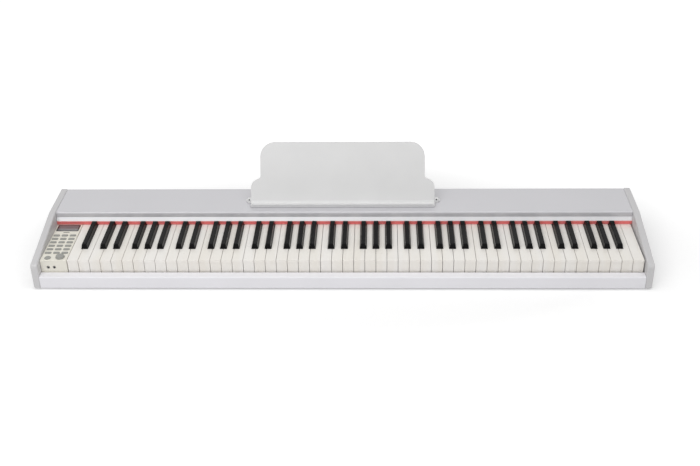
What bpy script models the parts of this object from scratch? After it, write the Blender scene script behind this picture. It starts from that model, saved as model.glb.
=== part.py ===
# Digital piano with 88 keys: a slim board cabinet, keys that tilt on a ridge of the key bed, a control
# panel beside the keys and a folding music stand.
# Metres, +Z up. X runs along the keys to the right, Y to the back. The origin is on the floor, under
# the middle of the cabinet.

from math import cos, pi, radians, sin, tan

import bmesh
import bpy
from mathutils import Vector

# Clearances
SEAT = 0.0003  # between pieces that touch
RUN = 0.0004  # between a moving piece and the hole that guides it

# Keyboard
PITCH = 0.0235  # width of one white key with its gap
WHITE_GAP = 0.001
WHITE_COUNT = 52
SINGLE_OCTAVE = 4  # its keys are single pieces; those of the other octaves are moulded as combs
KEY_VISIBLE = 0.150  # white key from its front edge to the felt
KEY_TRAVEL = 0.010  # dip at the front edge
KEY_WALL = 0.0018
KEY_ROOF = 0.0026
SKIRT_HEIGHT = 0.031  # front face of a white key
SIDE_HEIGHT = 0.018  # side walls behind the head
LIP_HEIGHT = 0.005
LIP_REACH = 0.0012
BLACK_WIDTH = 0.0137
BLACK_TOP_WIDTH = 0.0102
BLACK_RISE = 0.011
BLACK_DROP = 0.014  # how far the cap reaches below the white key tops
BLACK_FRONT = 0.047  # from the white fronts to the black fronts
BLACK_FRONT_SLOPE = 0.0026
BLACK_ROUND = 0.0012
BLACK_REAR_GAP = 0.0018  # rear end of a cap to the felt
NOTCH_GAP = 0.0008
STEM_DROP = 0.0015  # top of a black stem below the white key tops
STEM_OVERLAP = 0.010  # how far a black stem reaches into its cap, in front of the felt

# Pivot ridge and comb rails
PIVOT_REACH = 0.198  # from the white fronts to the pivot
PIVOT_DROP = 0.011  # pivot below the white key tops
RIDGE_HALF_ANGLE = radians(24)
RIDGE_TIP = 0.0006  # width of the ridge's top
GROOVE_HALF_ANGLE = radians(34)
STEM_TAIL = 0.007  # stem behind the pivot
RAIL_GAP = 0.003
RAIL_DEPTH = 0.010
RAIL_THICKNESS = 0.003
RAIL_STEP = 0.006  # from one comb rail down to the next
RAIL_TOP = 0.003  # upper comb rail below the white key tops

# Key bed
BED_THICKNESS = 0.003
BED_SETBACK = 0.004  # front of the tray behind the white fronts
BED_WALL = 0.0025
BED_WALL_DROP = 0.030  # top of the rear wall below the white key tops
RIDGE_FOOT = 0.0052  # half the ridge's thickness at the plate
RIDGE_SHOULDER_GAP = 0.001  # from the underside of the stems down to the ridge's shoulder
CONTACT_RAIL = (0.094, 0.126)  # front and back, from the white fronts

# Cabinet
FOOT_HEIGHT = 0.004
FOOT_RADIUS = 0.012
FOOT_DRAFT = 0.0016
FOOT_CHAMFER = 0.0008
FOOT_INSET = (0.075, 0.045)  # from the inside of the cheek, and from the front or the back
KEY_HEIGHT = 0.056  # white key tops above the underside of the boards
DECK_RISE = 0.030  # top board above the white key tops
CHEEK_RISE = 0.032
CHEEK_THICKNESS = 0.0145
CHEEK_NOSE_DROP = 0.001  # front end of the sloping edge, above the white key tops
CHEEK_NOSE_RADIUS = 0.008
CHEEK_BEND_RADIUS = 0.06  # where the level top turns into the slope
SLIP_DEPTH = 0.020
SLIP_DROP = 0.028  # top of the slip below the white key tops
SLIP_KEY_GAP = 0.002
DECK_SETBACK = 0.0035  # top board edge behind the felt's face line
DECK_THICKNESS = 0.012
DECK_NOSE_RADIUS = 0.0042
BOTTOM_THICKNESS = 0.009
REAR_THICKNESS = 0.012
EDGE_ROUND = 0.0016

# Fall rail and felt
FALL_LIP_DROP = 0.020  # lower edge of the slanted face below the top board's top
FALL_LIP_REACH = 0.005  # how far the slanted face comes forward
FALL_LIP_EDGE = 0.002
FALL_LEG = 0.0037
FELT_THICKNESS = 0.0026
FELT_GAP = 0.0008  # felt above the white keys

# Control panel, beside the lowest key
PANEL_WIDTH = 0.0570
PANEL_KEY_GAP = 0.0011
KEY_END_GAP = 0.0023  # highest key to the right cheek
PANEL_WALL = 0.0025
PANEL_UNDER_RAIL = 0.010  # how far the panel runs under the fall rail
DISPLAY_SIZE = (0.0500, 0.0270, 0.0012)
DISPLAY_CORNER = 0.0012
DISPLAY_EDGE = 0.0012  # panel left between the display and the felt line
SLOT_SIZE = (0.0143, 0.0024, 0.0010)
SLOT_REACH = 0.1165
BUTTON_SIZE = (0.0132, 0.0066)
BUTTON_CORNER = 0.0012
BUTTON_RISE = 0.0012
BUTTON_TRAVEL = 0.0008
BUTTON_PITCH_X = 0.0180
BUTTON_PITCH_Y = 0.0144
BUTTON_ROWS = 6
BUTTON_FIRST_REACH = 0.0306  # front row, from the white fronts
STRIP_WIDTH = 0.008
STRIP_THICKNESS = 0.0014
ROUND_BUTTON_RADIUS = 0.0068
ROUND_BUTTON_EDGE = 0.0006
ROUND_BUTTON_FLANGE = 0.0012
ROUND_BUTTON_PLACE = (-0.0138, 0.0106)  # from the panel's middle, and from the white fronts
KNOB_RADIUS = 0.0097
KNOB_HEIGHT = 0.0045
KNOB_PLACE = (0.0124, 0.0130)
KNOB_FLUTES = 16
FLUTE_DEPTH = 0.0004
KNOB_SKIRT = 0.0006  # height of the plain edge below the flutes
KNOB_DRAFT = 0.0003
KNOB_CHAMFER = 0.0007
KNOB_DISH = 0.0004
POINTER_SIZE = (0.0008, 0.0022, 0.0009)
POINTER_REACH = 0.004  # from the knob's axis
SHAFT_RADIUS = 0.003
SHAFT_END = 0.0012  # above the circuit board
JACK_PLACES = (-0.0122, 0.0008)  # from the panel's middle
JACK_DROP = 0.0168
JACK_BORE_RADIUS = 0.0018
JACK_COLLAR_RADIUS = 0.0031
JACK_NOSE = 0.0006  # collar in front of the panel
JACK_MARGIN = 0.006  # block around the bores
JACK_DEPTH = 0.0135  # block behind the panel's front wall
JACK_BORE_END = 0.002  # block behind a bore
BOARD_THICKNESS = 0.0016
BOARD_DROP = 0.0074  # circuit board's top below the panel's top
BOARD_WIDTH = 0.050
BOARD_FRONT_GAP = 0.001
BOARD_REAR_GAP = 0.003
POST_RADIUS = 0.0022
SWITCH_SIZE = 0.006
CONTROL_RADIUS = 0.0068  # body of the volume control

# Music stand, standing in front of its hinge on the top board
STAND_LEAN = radians(20)
STAND_HEIGHT = 0.134  # along the panel
STAND_HALF_WIDTH = 0.184
EAR_HALF_WIDTH = 0.206
EAR_TOP = 0.048
EAR_SLOPE = 0.004
STAND_CORNER = 0.032
EAR_CORNER = 0.019
NECK_CORNER = 0.010
STAND_THICKNESS = 0.008
STAND_EDGE = 0.0018
STAND_REACH = 0.037  # foot of the panel's front face behind the top board's front edge
HINGE_RISE = 0.006  # hinge axis above the top board
HINGE_RADIUS = 0.0054
HINGE_CLEARANCE = 0.0005
BASE_OVERLAP = 0.006  # foot inside the panel
FOOT_HEEL = 0.004  # rear end of the foot in front of the hinge axis
TROUGH_DEPTH = 0.0145  # from the lip to the panel
TROUGH_FLOOR = 0.004
TROUGH_FILLET = 0.003
LIP_RISE = 0.0098
LIP_THICKNESS = 0.003
LIP_SLANT = 0.0018
LIP_END_CHAMFER = 0.006
PIN_RADIUS = 0.0016
PIN_GRIP = 0.007  # length of the pin in the stand, and in the bracket
BOSS_RADIUS = 0.0078
BOSS_HEIGHT = 0.0024
BOSS_SETBACK = 0.006  # boss behind the hinge axis
BOSS_OFFSET = 0.0056  # middle of the boss beyond the end of the stand

# Rear of the cabinet
SPEAKER_SIZE = (0.112, 0.052)
SPEAKER_DEPTH = 0.024
SPEAKER_GAP = 0.0047  # speaker behind the key bed
MAGNET_RADIUS = 0.018
MAGNET_HEIGHT = 0.008
FLANGE_THICKNESS = 0.002
BASKET_SHARE = 0.86  # of the outside, behind the flange
CONE_SHARE = 0.82  # of the outside, at the rim
CONE_FLOOR = (0.30, 0.46)
CONE_DEPTH = 0.009
SPEAKER_PLACE = 0.390  # from the middle of the cabinet
GRILLE_SLOTS = 7
GRILLE_PITCH = 0.012
GRILLE_SLOT = (0.0035, 0.040)
CONNECTOR_SIZE = (0.090, 0.026, 0.014)
CONNECTOR_CORNER = 0.0017
CONNECTOR_SETBACK = 0.0006
CONNECTOR_RISE = 0.034  # its middle above the underside of the boards
CONNECTOR_PLACE = 0.500  # from the middle, towards the bass end
PEDAL_BORE_RADIUS = 0.0033
PEDAL_BORE_DEPTH = 0.011
SOCKET_PITCH = 0.030  # from the pedal socket to its neighbours
SOCKET_DEPTH = 0.009
SOCKET_TIP_SETBACK = 0.001  # pin and tongue behind the plate's face
INLET_BORE_RADIUS = 0.0036
INLET_PIN_RADIUS = 0.001
PORT_SIZE = (0.0120, 0.0108)
PORT_TONGUE = (0.0082, 0.0030)

# Positions that follow from these sizes
INNER_WIDTH = SEAT + PANEL_WIDTH + PANEL_KEY_GAP + WHITE_COUNT * PITCH + KEY_END_GAP
WIDTH = INNER_WIDTH + 2 * CHEEK_THICKNESS
BED_REACH = PIVOT_REACH + STEM_TAIL + RAIL_DEPTH + 2 * RAIL_GAP  # rear of the key bed
REAR_REACH = SPEAKER_GAP + SPEAKER_DEPTH + SEAT + REAR_THICKNESS  # from there to the back
DEPTH = SLIP_DEPTH + SLIP_KEY_GAP + BED_REACH + REAR_REACH
INNER = INNER_WIDTH / 2
FRONT_Y = -DEPTH / 2
REAR_Y = DEPTH / 2
KEY_Y = FRONT_Y + SLIP_DEPTH + SLIP_KEY_GAP
FELT_Y = KEY_Y + KEY_VISIBLE
DECK_Y = FELT_Y + DECK_SETBACK
KEY_Z = FOOT_HEIGHT + KEY_HEIGHT
BASE_Z = FOOT_HEIGHT
FLOOR_Z = BASE_Z + BOTTOM_THICKNESS + SEAT  # what stands on the bottom board starts here
DECK_TOP = KEY_Z + DECK_RISE
DECK_UNDER = DECK_TOP - DECK_THICKNESS
KEYS_RIGHT = INNER - KEY_END_GAP
KEYS_LEFT = KEYS_RIGHT - WHITE_COUNT * PITCH
PIVOT_Y = KEY_Y + PIVOT_REACH
PIVOT_Z = KEY_Z - PIVOT_DROP
STEM_END = PIVOT_Y + STEM_TAIL
STEM_FRONT = FELT_Y - STEM_OVERLAP
POCKET_END = PIVOT_Y - 2 * STEM_TAIL
PANEL_X = KEYS_LEFT - PANEL_KEY_GAP - PANEL_WIDTH / 2
HINGE_Y = DECK_Y + STAND_REACH + STAND_THICKNESS / cos(STAND_LEAN)
HINGE_Z = DECK_TOP + HINGE_RISE


def clear_scene():
    for obj in list(bpy.data.objects):
        bpy.data.objects.remove(obj)


def linear(channel):
    """One channel of a screen colour, 0 to 255, as the linear value that a shader takes."""
    share = channel / 255
    return share / 12.92 if share <= 0.04045 else ((share + 0.055) / 1.055) ** 2.4


def finish(name, screen_colour, roughness, metallic=0.0):
    material = bpy.data.materials.new(name)
    material.use_nodes = True
    shader = material.node_tree.nodes["Principled BSDF"]
    colour = [linear(channel) for channel in screen_colour] + [1.0]
    shader.inputs["Base Color"].default_value = colour
    shader.inputs["Roughness"].default_value = roughness
    shader.inputs["Metallic"].default_value = metallic
    material.diffuse_color = colour
    return material


# Shapes. Each function gives a new bmesh.


def placed(point, along, axis):
    """A point of a flat outline at a distance along the axis that the outline faces."""
    first, second = point
    if axis == "X":
        return Vector((along, first, second))
    if axis == "Y":
        return Vector((first, along, second))
    return Vector((first, second, along))


def prism(outline, low, high, axis="Z"):
    """The outline at low, extruded to high. On axis X it is (y, z), on Y (x, z) and on Z (x, y)."""
    bm = bmesh.new()
    face = bm.faces.new([bm.verts.new(placed(point, low, axis)) for point in outline])
    grown = bmesh.ops.extrude_face_region(bm, geom=[face])["geom"]
    moved = [item for item in grown if isinstance(item, bmesh.types.BMVert)]
    bmesh.ops.translate(bm, verts=moved, vec=placed((0, 0), high - low, axis))
    bmesh.ops.recalc_face_normals(bm, faces=bm.faces)
    return bm


def box(low, high):
    corners = [(low[0], low[1]), (high[0], low[1]), (high[0], high[1]), (low[0], high[1])]
    return prism(corners, low[2], high[2])


def loft(rings):
    """Faces from ring to ring, each with as many points, closed by a cap at both ends."""
    bm = bmesh.new()
    loops = [[bm.verts.new(point) for point in ring] for ring in rings]
    count = len(rings[0])
    for first, second in zip(loops, loops[1:]):
        for i in range(count):
            j = (i + 1) % count
            bm.faces.new((first[i], first[j], second[j], second[i]))
    bm.faces.new(loops[0])
    bm.faces.new(loops[-1])
    bmesh.ops.recalc_face_normals(bm, faces=bm.faces)
    return bm


def turned(profile, centre, steps):
    """A profile of (radius, height) from axis to axis, spun about the vertical line through centre."""
    bm = bmesh.new()
    verts = [bm.verts.new((radius, 0, height)) for radius, height in profile]
    edges = [bm.edges.new(pair) for pair in zip(verts, verts[1:])]
    bmesh.ops.spin(
        bm, geom=verts + edges, cent=(0, 0, 0), axis=(0, 0, 1), angle=2 * pi, steps=steps
    )
    bmesh.ops.remove_doubles(bm, verts=bm.verts, dist=1e-6)
    bmesh.ops.recalc_face_normals(bm, faces=bm.faces)
    bmesh.ops.translate(bm, verts=bm.verts, vec=centre)
    return bm


def merged(shapes):
    """Shapes that don't touch, as one mesh."""
    whole = bmesh.new()
    for shape in shapes:
        carrier = bpy.data.meshes.new("carrier")
        shape.to_mesh(carrier)
        shape.free()
        whole.from_mesh(carrier)
        bpy.data.meshes.remove(carrier)
    return whole


def circle(centre, radius, steps, start=0.0):
    turns = [start + 2 * pi * i / steps for i in range(steps)]
    return [(centre[0] + radius * cos(a), centre[1] + radius * sin(a)) for a in turns]


def rounded(corners, radii, steps):
    """The outline with an arc of the given radius at each corner, or one radius for all."""
    if not isinstance(radii, (list, tuple)):
        radii = [radii] * len(corners)
    outline = []
    for i, corner in enumerate(corners):
        here = Vector(corner)
        back = (Vector(corners[i - 1]) - here).normalized()
        ahead = (Vector(corners[(i + 1) % len(corners)]) - here).normalized()
        if radii[i] == 0:
            outline.append(tuple(here))
            continue
        half = back.angle(ahead) / 2
        middle = here + (back + ahead).normalized() * (radii[i] / sin(half))
        start = here + back * (radii[i] / tan(half)) - middle
        end = here + ahead * (radii[i] / tan(half)) - middle
        for k in range(steps + 1):
            share = k / steps
            spread = pi - 2 * half
            blend = start * sin((1 - share) * spread) + end * sin(share * spread)
            outline.append(tuple(middle + blend / sin(spread)))
    return outline


def rectangle(centre, size):
    half_x = size[0] / 2
    half_y = size[1] / 2
    signs = ((-1, -1), (1, -1), (1, 1), (-1, 1))
    return [(centre[0] + sx * half_x, centre[1] + sy * half_y) for sx, sy in signs]


# Objects


def node(name, shape, material, pivot=(0, 0, 0)):
    """An object from a shape in place. A moving piece takes a point of its joint axis as its origin."""
    bmesh.ops.translate(shape, verts=shape.verts, vec=-Vector(pivot))
    mesh = bpy.data.meshes.new(name)
    shape.to_mesh(mesh)
    shape.free()
    mesh.materials.append(material)
    obj = bpy.data.objects.new(name, mesh)
    obj.location = pivot
    bpy.context.collection.objects.link(obj)
    return obj


def combine(obj, shape, operation):
    """Joins a shape to the object or cuts it away, and keeps the result as the object's mesh."""
    helper = node("helper", shape, obj.data.materials[0])
    helper.hide_render = True
    helper.display_type = "WIRE"
    modifier = obj.modifiers.new("Boolean", "BOOLEAN")
    modifier.operation = operation
    modifier.solver = "EXACT"
    modifier.object = helper
    bpy.context.view_layer.update()
    evaluated = obj.evaluated_get(bpy.context.evaluated_depsgraph_get())
    mesh = bpy.data.meshes.new_from_object(evaluated)
    obj.modifiers.clear()
    obj.data = mesh
    mesh.name = obj.name
    bpy.data.objects.remove(helper)
    return obj


def join(obj, shape):
    return combine(obj, shape, "UNION")


def cut(obj, shape):
    return combine(obj, shape, "DIFFERENCE")


def ease_edges(obj, width, segments=2, angle=35):
    """A rounded edge wherever faces meet at more than the angle, in degrees."""
    bevel = obj.modifiers.new("Bevel", "BEVEL")
    bevel.width = width
    bevel.segments = segments
    bevel.limit_method = "ANGLE"
    bevel.angle_limit = radians(angle)
    return obj


def smooth(obj, angle=35):
    obj.data.shade_smooth()
    obj.data.set_sharp_from_angle(angle=radians(angle))
    return obj


# Keys. Each is a hollow moulding, open below, whose stem ends over the pivot ridge.


def note_of(index):
    """Letter and octave of a white key, counted from the left."""
    return "CDEFGAB"[(index + 5) % 7], (index + 5) // 7


def sharp_middle(index):
    """Middle of the black key at the right of a white key: the tails between blacks are alike."""
    letter, _ = note_of(index)
    group, whites, blacks = ("CDE", 3, 2) if letter in "CDE" else ("FGAB", 4, 3)
    place = group.index(letter)
    slot = BLACK_WIDTH + 2 * NOTCH_GAP
    tail = (whites * PITCH - blacks * slot) / whites
    group_left = KEYS_LEFT + (index - place) * PITCH
    return group_left + (place + 1) * tail + (place + 0.5) * slot


def has_sharp(index):
    return 0 <= index < WHITE_COUNT - 1 and note_of(index)[0] in "CDFGA"


def white_sides(index):
    """Left and right of the head, then of the tail."""
    left = KEYS_LEFT + index * PITCH + WHITE_GAP / 2
    right = left + PITCH - WHITE_GAP
    half_slot = BLACK_WIDTH / 2 + NOTCH_GAP
    tail_left = sharp_middle(index - 1) + half_slot if has_sharp(index - 1) else left
    tail_right = sharp_middle(index) - half_slot if has_sharp(index) else right
    return left, right, tail_left, tail_right


def white_ring(index, height):
    """The key's outline from above, clockwise from the front left, at the height given for each y."""
    left, right, tail_left, tail_right = white_sides(index)
    head = KEY_Y + BLACK_FRONT - NOTCH_GAP
    points = [(left, KEY_Y), (right, KEY_Y), (right, head)]
    if tail_right < right:
        points.append((tail_right, head))
    points += [(tail_right, STEM_END), (tail_left, STEM_END)]
    if tail_left > left:
        points.append((tail_left, head))
    points.append((left, head))
    return [(x, y, height(y)) for x, y in points]


def white_rim(y):
    """Lower edge of a white key: deep at the front, rising to the sides behind the head."""
    share = min(1.0, max(0.0, (y - KEY_Y) / (BLACK_FRONT - NOTCH_GAP)))
    return KEY_Z - SKIRT_HEIGHT - (SIDE_HEIGHT - SKIRT_HEIGHT) * share


def white_key(index):
    return loft([white_ring(index, white_rim), white_ring(index, lambda y: KEY_Z)])


def white_pocket(index):
    """The hollow of a white key, open below."""
    _, _, tail_left, tail_right = white_sides(index)
    front = KEY_Y + LIP_REACH + KEY_WALL
    low = (tail_left + KEY_WALL, front, KEY_Z - SKIRT_HEIGHT - KEY_WALL)
    return box(low, (tail_right - KEY_WALL, POCKET_END, KEY_Z - KEY_ROOF))


def black_ring(middle, width, front, rear, height):
    corners = rectangle((middle, (front + rear) / 2), (width, rear - front))
    return [(x, y, height) for x, y in corners]


def black_cap(index):
    """The cap that shows, with sloping sides and front, and rounded along its top."""
    middle = sharp_middle(index)
    front = KEY_Y + BLACK_FRONT
    rear = FELT_Y - BLACK_REAR_GAP
    top_front = front + BLACK_FRONT_SLOPE
    crown_width = BLACK_TOP_WIDTH - BLACK_ROUND
    crown_ends = (top_front + BLACK_ROUND, rear - BLACK_ROUND)
    crown = KEY_Z + BLACK_RISE
    rings = [
        black_ring(middle, BLACK_WIDTH, front, rear, KEY_Z - BLACK_DROP),
        black_ring(middle, BLACK_WIDTH, front, rear, KEY_Z),
        black_ring(middle, BLACK_TOP_WIDTH, top_front, rear, crown - BLACK_ROUND),
        black_ring(middle, crown_width, crown_ends[0], crown_ends[1], crown),
    ]
    return loft(rings)


def black_pocket(index):
    """The hollow of a black cap, open below."""
    half = BLACK_TOP_WIDTH / 2 - KEY_WALL
    middle = sharp_middle(index)
    front = KEY_Y + BLACK_FRONT + BLACK_FRONT_SLOPE + KEY_WALL
    low = (middle - half, front, KEY_Z - SIDE_HEIGHT - KEY_WALL)
    return box(low, (middle + half, STEM_FRONT - KEY_WALL, KEY_Z + BLACK_RISE - 2 * KEY_ROOF))


def black_stem(index):
    """The lever of a black key, from inside its cap to the pivot."""
    half = (BLACK_WIDTH - 2 * KEY_WALL) / 2
    middle = sharp_middle(index)
    low = (middle - half, STEM_FRONT, KEY_Z - SIDE_HEIGHT)
    return box(low, (middle + half, STEM_END, KEY_Z - STEM_DROP))


def lip_cutter(low, high):
    """What is missing below the front lip of the white keys from low to high."""
    corners = [
        (KEY_Y - LIP_REACH, KEY_Z - SKIRT_HEIGHT - LIP_REACH),
        (KEY_Y + LIP_REACH, KEY_Z - SKIRT_HEIGHT - LIP_REACH),
        (KEY_Y + LIP_REACH, KEY_Z - LIP_HEIGHT),
        (KEY_Y - LIP_REACH, KEY_Z - LIP_HEIGHT - LIP_REACH / 2),
    ]
    return prism(corners, low - PITCH, high + PITCH, "X")


def groove_cutter(low, high):
    """The groove that sits on the pivot ridge, open below."""
    apex = PIVOT_Z + SEAT + RIDGE_TIP / 2 / tan(GROOVE_HALF_ANGLE)
    mouth = KEY_Z - SIDE_HEIGHT - SEAT
    half = (apex - mouth) * tan(GROOVE_HALF_ANGLE)
    corners = [(PIVOT_Y - half, mouth), (PIVOT_Y + half, mouth), (PIVOT_Y, apex)]
    return prism(corners, low - PITCH, high + PITCH, "X")


def comb_rail(spans, layer):
    """A rail behind the stems with a tongue into each, layer 0 to 2 from the top."""
    front = STEM_END + RAIL_GAP
    rear = front + RAIL_DEPTH
    tip = STEM_END - STEM_TAIL / 2
    left = min(low for low, high in spans)
    right = max(high for low, high in spans)
    outline = [(right, rear), (left, rear)]
    for low, high in sorted(spans):
        inset = (high - low) / 8
        if low > left:
            outline.append((low + inset, front))
        else:
            outline += [(left, front), (low + inset, front)]
        outline += [(low + inset, tip), (high - inset, tip), (high - inset, front)]
    outline.append((right, front))
    top = KEY_Z - RAIL_TOP - layer * RAIL_STEP
    return prism(outline, top - RAIL_THICKNESS, top)


def white_span(index):
    return white_sides(index)[2:]


def black_span(index):
    half = (BLACK_WIDTH - 2 * KEY_WALL) / 2
    return sharp_middle(index) - half, sharp_middle(index) + half


def pivot_of(spans):
    left = min(low for low, high in spans)
    right = max(high for low, high in spans)
    return Vector(((left + right) / 2, PIVOT_Y, PIVOT_Z))


def white_moulding(name, indices, layer, material):
    """Some white keys on one rail, or a single key without a rail."""
    spans = [white_span(i) for i in indices]
    pivot = pivot_of(spans)
    if len(indices) > 1:
        obj = node(name, comb_rail(spans, layer), material, pivot)
        join(obj, merged([white_key(i) for i in indices]))
    else:
        obj = node(name, white_key(indices[0]), material, pivot)
    low = min(white_sides(i)[0] for i in indices)
    high = max(white_sides(i)[1] for i in indices)
    cut(obj, merged([white_pocket(i) for i in indices]))
    cut(obj, lip_cutter(low, high))
    cut(obj, groove_cutter(low, high))
    return obj


def black_moulding(name, indices, material):
    """Some black keys on the lowest rail, or a single key without a rail."""
    spans = [black_span(i) for i in indices]
    pivot = pivot_of(spans)
    if len(indices) > 1:
        obj = node(name, comb_rail(spans, 2), material, pivot)
        join(obj, merged([black_stem(i) for i in indices]))
    else:
        obj = node(name, black_stem(indices[0]), material, pivot)
    join(obj, merged([black_cap(i) for i in indices]))
    cut(obj, merged([black_pocket(i) for i in indices]))
    cut(obj, groove_cutter(spans[0][0], spans[-1][1]))
    return obj


def make_keys(white, black):
    """An octave of separate keys, and three combs for each of the other octaves."""
    whites = range(WHITE_COUNT)
    blacks = [i for i in whites if has_sharp(i)]
    octaves = {i: min(7, max(1, note_of(i)[1])) for i in whites}
    for octave in range(1, 8):
        mine = [i for i in whites if octaves[i] == octave]
        sharps = [i for i in blacks if octaves[i] == octave]
        if octave == SINGLE_OCTAVE:
            for i in mine:
                white_moulding(f"key_{note_of(i)[0].lower()}{octave}", [i], 0, white)
            for i in sharps:
                black_moulding(f"key_{note_of(i)[0].lower()}_sharp{octave}", [i], black)
            continue
        for layer, letters in enumerate(("CEGB", "DFA")):
            keys = [i for i in mine if note_of(i)[0] in letters]
            white_moulding(f"white_comb_{letters.lower()}_{octave}", keys, layer, white)
        black_moulding(f"black_comb_{octave}", sharps, black)


# Cabinet boards


def make_cheeks(material):
    """End boards: level at the back, then sloping down beside the keys to a rounded nose."""
    top = KEY_Z + CHEEK_RISE
    nose = KEY_Z + CHEEK_NOSE_DROP
    corners = [
        (FRONT_Y, BASE_Z),
        (REAR_Y, BASE_Z),
        (REAR_Y, top),
        (FELT_Y, top),
        (FRONT_Y, nose),
    ]
    radii = [EDGE_ROUND, EDGE_ROUND, 2 * EDGE_ROUND, CHEEK_BEND_RADIUS, CHEEK_NOSE_RADIUS]
    outline = rounded(corners, radii, 3)
    for name, side in (("left_cheek", -1), ("right_cheek", 1)):
        inner = side * INNER
        outer = side * (INNER + CHEEK_THICKNESS)
        cheek = node(name, prism(outline, min(inner, outer), max(inner, outer), "X"), material)
        smooth(ease_edges(cheek, EDGE_ROUND, 1))


def make_slip(material):
    """The board across the front, below the keys."""
    top = KEY_Z - SLIP_DROP
    corners = [
        (FRONT_Y, BASE_Z),
        (FRONT_Y + SLIP_DEPTH, BASE_Z),
        (FRONT_Y + SLIP_DEPTH, top),
        (FRONT_Y, top),
    ]
    outline = rounded(corners, [EDGE_ROUND, 0, EDGE_ROUND, 2 * EDGE_ROUND], 4)
    smooth(node("key_slip", prism(outline, SEAT - INNER, INNER - SEAT, "X"), material))


def make_bottom(material):
    low = (SEAT - INNER, FRONT_Y + SLIP_DEPTH + SEAT, BASE_Z)
    high = (INNER - SEAT, REAR_Y - REAR_THICKNESS - SEAT, BASE_Z + BOTTOM_THICKNESS)
    ease_edges(node("bottom_board", box(low, high), material), EDGE_ROUND / 2, 1)


def make_top(material):
    """The top board, with a rounded front edge."""
    corners = [
        (DECK_Y, DECK_UNDER),
        (REAR_Y, DECK_UNDER),
        (REAR_Y, DECK_TOP),
        (DECK_Y, DECK_TOP),
    ]
    outline = rounded(corners, [0, 0, EDGE_ROUND, DECK_NOSE_RADIUS], 6)
    smooth(node("top_board", prism(outline, SEAT - INNER, INNER - SEAT, "X"), material))


def make_fall_rail(material, felt):
    """The slanted rail under the top board, and the felt strip on the front of its leg."""
    lip_y = DECK_Y - FALL_LIP_REACH
    lip_z = DECK_TOP - FALL_LIP_DROP
    felt_back = FELT_Y + FELT_THICKNESS
    leg_front = felt_back + SEAT
    corners = [
        (DECK_Y, DECK_UNDER - SEAT),
        (lip_y, lip_z),
        (lip_y, lip_z - FALL_LIP_EDGE),
        (leg_front, lip_z - FALL_LIP_EDGE),
        (leg_front, KEY_Z + 2 * FELT_GAP),
        (leg_front + FALL_LEG, KEY_Z + 2 * FELT_GAP),
        (leg_front + FALL_LEG, DECK_UNDER - SEAT),
    ]
    rail = prism(corners, SEAT - INNER, INNER - SEAT, "X")
    node("fall_rail", rail, material)
    low = (SEAT - INNER, FELT_Y, KEY_Z + FELT_GAP)
    high = (INNER - SEAT, felt_back, lip_z - FALL_LIP_EDGE - SEAT)
    node("key_felt", box(low, high), felt)


def make_feet(material):
    """Rubber feet under the bottom board, wider at the top."""
    profile = [
        (0, FOOT_HEIGHT - SEAT),
        (FOOT_RADIUS, FOOT_HEIGHT - SEAT),
        (FOOT_RADIUS - FOOT_DRAFT, FOOT_CHAMFER),
        (FOOT_RADIUS - FOOT_DRAFT - FOOT_CHAMFER, 0),
        (0, 0),
    ]
    for end, sx in (("left", -1), ("right", 1)):
        for row, sy in (("front", -1), ("rear", 1)):
            place = (sx * (INNER - FOOT_INSET[0]), sy * (DEPTH / 2 - FOOT_INSET[1]), 0)
            smooth(node(f"{row}_{end}_foot", turned(profile, place, 24), material))


# Key bed


def make_key_bed(material):
    """The tray under the keys. Its ridge carries them, and a rail between carries the contacts."""
    base = FLOOR_Z
    plate = base + BED_THICKNESS
    front = KEY_Y + BED_SETBACK
    rear = KEY_Y + BED_REACH
    wall_top = KEY_Z - BED_WALL_DROP
    tip = RIDGE_TIP / 2
    shoulder = KEY_Z - SIDE_HEIGHT - RIDGE_SHOULDER_GAP
    flare = tip + (PIVOT_Z - shoulder) * tan(RIDGE_HALF_ANGLE)
    contact_front, contact_rear = (KEY_Y + reach for reach in CONTACT_RAIL)
    contact_top = KEY_Z - SIDE_HEIGHT - KEY_TRAVEL - BED_THICKNESS
    corners = [
        (front, base),
        (rear, base),
        (rear, wall_top),
        (rear - BED_WALL, wall_top),
        (rear - BED_WALL, plate),
        (PIVOT_Y + RIDGE_FOOT, plate),
        (PIVOT_Y + flare, shoulder),
        (PIVOT_Y + tip, PIVOT_Z),
        (PIVOT_Y - tip, PIVOT_Z),
        (PIVOT_Y - flare, shoulder),
        (PIVOT_Y - RIDGE_FOOT, plate),
        (contact_rear, plate),
        (contact_rear, contact_top),
        (contact_front, contact_top),
        (contact_front, plate),
        (front, plate),
    ]
    node("key_bed", prism(corners, KEYS_LEFT + WHITE_GAP, KEYS_RIGHT - WHITE_GAP, "X"), material)


# Control panel


def column_middles():
    return [PANEL_X + step * BUTTON_PITCH_X for step in (-1, 0, 1)]


def row_middles():
    return [KEY_Y + BUTTON_FIRST_REACH + row * BUTTON_PITCH_Y for row in range(BUTTON_ROWS)]


def panel_point(place):
    return PANEL_X + place[0], KEY_Y + place[1]


def button_outline(centre, growth=0.0):
    size = (BUTTON_SIZE[0] + 2 * growth, BUTTON_SIZE[1] + 2 * growth)
    return rounded(rectangle(centre, size), BUTTON_CORNER + growth, 1)


def display_middle():
    return PANEL_X, FELT_Y - DISPLAY_EDGE - DISPLAY_SIZE[1] / 2


def boss_middles():
    """Posts between the button columns, which carry the circuit board."""
    first = row_middles()[0] - BUTTON_PITCH_Y / 2
    last = row_middles()[-1] + BUTTON_PITCH_Y / 2
    return [(PANEL_X + side * BUTTON_PITCH_X / 2, y) for side in (-1, 1) for y in (first, last)]


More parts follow.
